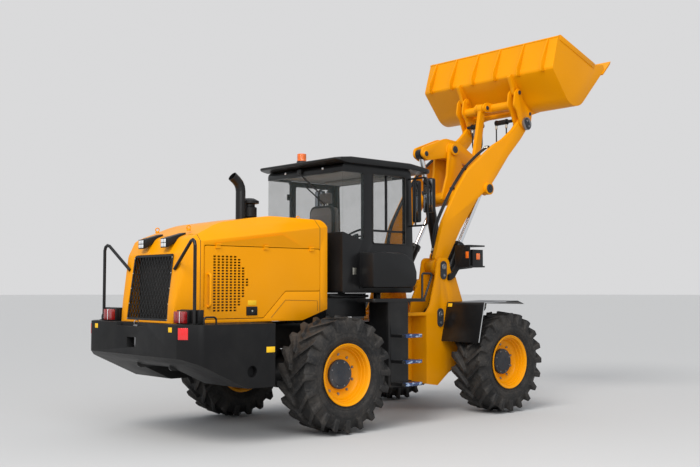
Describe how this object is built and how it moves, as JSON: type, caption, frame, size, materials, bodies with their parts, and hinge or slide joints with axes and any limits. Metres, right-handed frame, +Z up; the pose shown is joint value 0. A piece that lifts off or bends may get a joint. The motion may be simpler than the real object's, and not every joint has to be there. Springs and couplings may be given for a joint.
{
  "type": "wheel loader",
  "caption": "Articulated wheel loader on four lugged tyres with a glazed cab, rear counterweight and raised Z-bar boom, its quick-coupled bucket rolled back at full lift.",
  "frame": {"origin": "centre of the overall bounding box at ground level, between the counterweight's rear face and the raised bucket's lip", "axes": "+X forward towards the bucket, +Y to the operator's left, +Z up; the ground is the plane Z = 0"},
  "size_m": [7.4012, 2.524, 5.2884],
  "materials": {
    "yellow_paint": "gloss enamel, orange yellow",
    "black_paint": "satin enamel, black",
    "grey_steel": "bare steel pins",
    "rod_chrome": "hard chromed rod",
    "cast_weight": "cast and painted black",
    "tyre_rubber": "dusty black rubber",
    "black_plastic": "textured moulding",
    "clear_glass": "clear tempered glass",
    "seat_cloth": "black woven cloth",
    "amber_lens": "amber moulded lens",
    "red_lens": "red moulded lens",
    "radiator_core": "finned core",
    "engine_paint": "painted castings"
  },
  "bodies": {
    "rear_machine": {"rear_frame": "black_paint", "rear_axle": "black_paint", "counterweight": "cast_weight", "hood": "yellow_paint", "rear_grille": "black_paint", "engine": "engine_paint", "radiator": "radiator_core", "transmission": "engine_paint", "exhaust_stack": "black_paint", "air_cleaner": "black_plastic", "cab_frame": "black_paint", "cab_glass": "clear_glass", "cab_roof": "black_paint", "operator_seat": "black_plastic", "seat_cushions": "seat_cloth", "steering_column": "black_plastic", "side_box": "black_plastic", "steps_right": "black_paint", "steps_left": "black_paint", "mirrors": "black_plastic", "beacon": "amber_lens", "rear_lamps": "red_lens", "rear_handrails": "black_paint"},
    "front_machine": {"front_frame": "yellow_paint", "front_axle": "black_paint", "tower_pins": "grey_steel", "front_fenders": "black_plastic", "front_lamps": "black_plastic"},
    "boom_body": {"boom": "yellow_paint"},
    "boom_tip": {"tip_pins": "grey_steel"},
    "tool": {"coupler": "yellow_paint", "bucket": "yellow_paint"},
    "rocker_axle": {"rocker_pin": "grey_steel"},
    "rocker_body": {"rocker": "yellow_paint"},
    "link_axle": {"link_pin": "grey_steel"},
    "link_body": {"dump_link": "yellow_paint"},
    "tilt_base": {"tilt_base_pin": "grey_steel"},
    "tilt_barrel_body": {"tilt_barrel": "black_paint"},
    "tilt_rod_body": {"tilt_rod": "rod_chrome"},
    "lift_barrel_pair": {"lift_barrels": "black_paint"},
    "lift_rod_pair": {"lift_rods": "rod_chrome"},
    "steer_barrel_l": {"steer_barrel_left": "black_paint"},
    "steer_rod_l": {"steer_rod_left": "rod_chrome"},
    "steer_barrel_r": {"steer_barrel_right": "black_paint"},
    "steer_rod_r": {"steer_rod_right": "rod_chrome"},
    "cab_door_leaf": {"cab_door": "black_paint", "cab_door_glass": "clear_glass"},
    "engine_door_r": {"engine_door_right": "yellow_paint"},
    "engine_door_l": {"engine_door_left": "yellow_paint"},
    "wheel_rear_left": {"tyre_rear_left": "tyre_rubber", "rim_rear_left": "yellow_paint"},
    "wheel_rear_right": {"tyre_rear_right": "tyre_rubber", "rim_rear_right": "yellow_paint"},
    "wheel_front_left": {"tyre_front_left": "tyre_rubber", "rim_front_left": "yellow_paint"},
    "wheel_front_right": {"tyre_front_right": "tyre_rubber", "rim_front_right": "yellow_paint"}
  },
  "joints": [
    {"name": "steer", "type": "hinge", "parent": "rear_machine", "child": "front_machine", "pos_m": [-0.19921, 0, 0.86], "axis": [0, 0, 1], "range_deg": [-35, 35]},
    {"name": "boom_lift", "type": "hinge", "parent": "front_machine", "child": "boom_body", "pos_m": [0.63679, 0, 1.937], "axis": [0, 1, 0], "range_deg": [0, 88.19]},
    {"name": "bucket_level", "type": "hinge", "parent": "boom_body", "child": "boom_tip", "pos_m": [2.50279, 0, 4.09], "axis": [0, 1, 0], "range_deg": [-88.39, 0.2]},
    {"name": "bucket_tilt", "type": "hinge", "parent": "boom_tip", "child": "tool", "pos_m": [2.50279, 0, 4.09], "axis": [0, -1, 0], "range_deg": [-90, 0]},
    {"name": "rocker_carry", "type": "hinge", "parent": "boom_body", "child": "rocker_axle", "pos_m": [1.36779, 0, 3.637], "axis": [0, 1, 0], "range_deg": [-0.2, 48]},
    {"name": "rocker_turn", "type": "hinge", "parent": "rocker_axle", "child": "rocker_body", "pos_m": [1.36779, 0, 3.637], "axis": [0, -1, 0], "range_deg": [-0.2, 36.5]},
    {"name": "link_carry", "type": "hinge", "parent": "rocker_body", "child": "link_axle", "pos_m": [1.99079, 0, 3.4], "axis": [0, 1, 0], "range_deg": [-19, 0.2]},
    {"name": "link_turn", "type": "hinge", "parent": "link_axle", "child": "link_body", "pos_m": [1.99079, 0, 3.4], "axis": [0, 1, 0], "range_deg": [-0.2, 77]},
    {"name": "tilt_carry", "type": "hinge", "parent": "front_machine", "child": "tilt_base", "pos_m": [1.20079, 0, 2.082], "axis": [0, 1, 0], "range_deg": [-0.2, 119]},
    {"name": "tilt_swing", "type": "hinge", "parent": "tilt_base", "child": "tilt_barrel_body", "pos_m": [1.20079, 0, 2.082], "axis": [0, 1, 0], "range_deg": [-0.2, 4.5]},
    {"name": "tilt_stroke", "type": "slide", "parent": "tilt_barrel_body", "child": "tilt_rod_body", "axis": [-0.2378, 0, 0.9713], "range_m": [-0.316, 0.001]},
    {"name": "lift_swing", "type": "hinge", "parent": "front_machine", "child": "lift_barrel_pair", "pos_m": [0.57079, 0, 1.305], "axis": [0, 1, 0], "range_deg": [-0.2, 75]},
    {"name": "lift_stroke", "type": "slide", "parent": "lift_barrel_pair", "child": "lift_rod_pair", "axis": [0.5251, 0, 0.851], "range_m": [-0.795, 0.001]},
    {"name": "steer_swing_l", "type": "hinge", "parent": "rear_machine", "child": "steer_barrel_l", "pos_m": [-0.79921, 0.3, 0.86], "axis": [0, 0, 1], "range_deg": [-4.2, 4.2]},
    {"name": "steer_stroke_l", "type": "slide", "parent": "steer_barrel_l", "child": "steer_rod_l", "axis": [0.9975, -0.0702, 0], "range_m": [-0.16, 0.16]},
    {"name": "steer_swing_r", "type": "hinge", "parent": "rear_machine", "child": "steer_barrel_r", "pos_m": [-0.79921, -0.3, 0.86], "axis": [0, 0, 1], "range_deg": [-4.2, 4.2]},
    {"name": "steer_stroke_r", "type": "slide", "parent": "steer_barrel_r", "child": "steer_rod_r", "axis": [0.9975, 0.0702, 0], "range_m": [-0.16, 0.16]},
    {"name": "wheel_rear_left_spin", "type": "hinge", "parent": "rear_machine", "child": "wheel_rear_left", "pos_m": [-1.64921, 1.01, 0.67], "axis": [0, 1, 0], "continuous": true},
    {"name": "wheel_rear_right_spin", "type": "hinge", "parent": "rear_machine", "child": "wheel_rear_right", "pos_m": [-1.64921, -1.01, 0.67], "axis": [0, 1, 0], "continuous": true},
    {"name": "wheel_front_left_spin", "type": "hinge", "parent": "front_machine", "child": "wheel_front_left", "pos_m": [1.25079, 1.01, 0.67], "axis": [0, 1, 0], "continuous": true},
    {"name": "wheel_front_right_spin", "type": "hinge", "parent": "front_machine", "child": "wheel_front_right", "pos_m": [1.25079, -1.01, 0.67], "axis": [0, 1, 0], "continuous": true},
    {"name": "cab_door_swing", "type": "hinge", "parent": "rear_machine", "child": "cab_door_leaf", "pos_m": [-0.95221, 0.754, 2.3], "axis": [0, 0, 1], "range_deg": [0, 95]},
    {"name": "engine_door_right_lift", "type": "hinge", "parent": "rear_machine", "child": "engine_door_r", "pos_m": [-2.34921, -0.655, 2.123], "axis": [-1, 0, 0], "range_deg": [0, 75]},
    {"name": "engine_door_left_lift", "type": "hinge", "parent": "rear_machine", "child": "engine_door_l", "pos_m": [-2.34921, 0.655, 2.123], "axis": [1, 0, 0], "range_deg": [0, 75]}
  ],
  "couplings": [
    {"joint": "bucket_level", "follows": "boom_lift", "ratio": -1},
    {"joint": "rocker_carry", "follows": "boom_lift", "ratio": 0.5343},
    {"joint": "link_carry", "follows": "boom_lift", "ratio": -0.211},
    {"joint": "tilt_carry", "follows": "boom_lift", "ratio": 1.3437},
    {"joint": "lift_swing", "follows": "boom_lift", "ratio": 0.843},
    {"joint": "lift_stroke", "follows": "boom_lift", "m_per_rad": -0.5152},
    {"joint": "rocker_turn", "follows": "bucket_tilt", "ratio": -0.399},
    {"joint": "link_turn", "follows": "bucket_tilt", "ratio": -0.8456},
    {"joint": "tilt_swing", "follows": "bucket_tilt", "ratio": -0.0467},
    {"joint": "tilt_stroke", "follows": "bucket_tilt", "m_per_rad": 0.1999},
    {"joint": "steer_swing_l", "follows": "steer", "ratio": 0.1056},
    {"joint": "steer_swing_r", "follows": "steer", "ratio": 0.1056},
    {"joint": "steer_stroke_l", "follows": "steer", "m_per_rad": -0.24616},
    {"joint": "steer_stroke_r", "follows": "steer", "m_per_rad": 0.24616}
  ]
}
